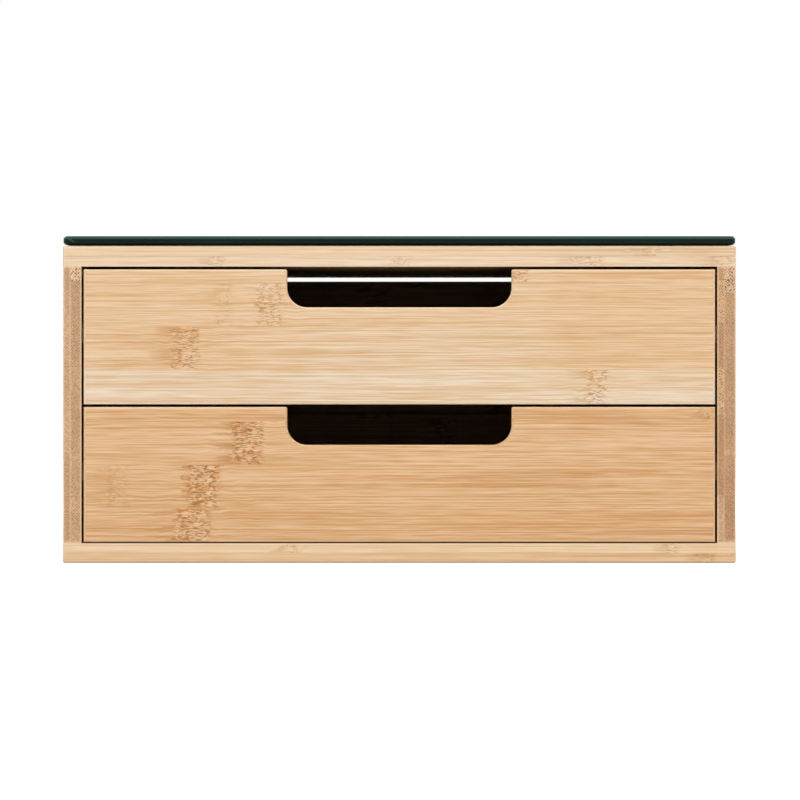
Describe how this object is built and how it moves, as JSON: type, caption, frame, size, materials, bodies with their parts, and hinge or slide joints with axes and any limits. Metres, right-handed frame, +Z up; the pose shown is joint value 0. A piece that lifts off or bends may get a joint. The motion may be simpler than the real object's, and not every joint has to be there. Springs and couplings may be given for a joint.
{
  "type": "coffee capsule drawer",
  "caption": "Low bamboo box with stacked, laned capsule drawers on side runners, finger cut-outs and a black glass top that carries a coffee machine.",
  "frame": {"origin": "middle of the underside, where the box stands", "axes": "+X to the right seen from the front, +Y to the back, +Z up; the drawer fronts face -Y"},
  "size_m": [0.31, 0.32, 0.1505],
  "materials": {
    "bamboo_panel": "satin clear lacquer on two-ply bamboo",
    "bamboo_side": "satin clear lacquer on two-ply bamboo, end grain in front",
    "bamboo_upper_front": "satin clear lacquer on bamboo strips",
    "bamboo_lower_front": "satin clear lacquer on bamboo strips",
    "bamboo_drawer": "sanded bamboo",
    "bamboo_back": "sanded thin bamboo board",
    "bamboo_bottom": "sanded thin bamboo board",
    "bamboo_divider": "sanded bamboo slat",
    "bamboo_runner": "waxed bamboo strip",
    "beech_dowel": "fluted wooden dowel",
    "black_glass": "polished, black-backed, green at the edge",
    "clear_pad": "clear adhesive pad",
    "steel_screw": "zinc-plated"
  },
  "bodies": {
    "case": {"base_panel": "bamboo_panel", "top_panel": "bamboo_panel", "left_side_panel": "bamboo_side", "right_side_panel": "bamboo_side", "back_panel": "bamboo_back", "glass_top": "black_glass", "glass_pads": "clear_pad", "base_screws": "steel_screw", "top_screws": "steel_screw", "runner_screws": "steel_screw", "upper_left_runner": "bamboo_runner", "upper_right_runner": "bamboo_runner", "lower_left_runner": "bamboo_runner", "lower_right_runner": "bamboo_runner"},
    "lower_drawer": {"lower_drawer_front": "bamboo_lower_front", "lower_drawer_left_side": "bamboo_drawer", "lower_drawer_right_side": "bamboo_drawer", "lower_drawer_back": "bamboo_drawer", "lower_drawer_bottom": "bamboo_bottom", "lower_drawer_dowels": "beech_dowel", "lower_drawer_divider_1": "bamboo_divider", "lower_drawer_divider_2": "bamboo_divider", "lower_drawer_divider_3": "bamboo_divider", "lower_drawer_divider_4": "bamboo_divider", "lower_drawer_divider_5": "bamboo_divider"},
    "upper_drawer": {"upper_drawer_front": "bamboo_upper_front", "upper_drawer_left_side": "bamboo_drawer", "upper_drawer_right_side": "bamboo_drawer", "upper_drawer_back": "bamboo_drawer", "upper_drawer_bottom": "bamboo_bottom", "upper_drawer_dowels": "beech_dowel", "upper_drawer_divider_1": "bamboo_divider", "upper_drawer_divider_2": "bamboo_divider", "upper_drawer_divider_3": "bamboo_divider", "upper_drawer_divider_4": "bamboo_divider", "upper_drawer_divider_5": "bamboo_divider"}
  },
  "joints": [
    {"name": "lower_drawer_slide", "type": "slide", "parent": "case", "child": "lower_drawer", "axis": [0, -1, 0], "range_m": [0, 0.24]},
    {"name": "upper_drawer_slide", "type": "slide", "parent": "case", "child": "upper_drawer", "axis": [0, -1, 0], "range_m": [0, 0.24]}
  ]
}
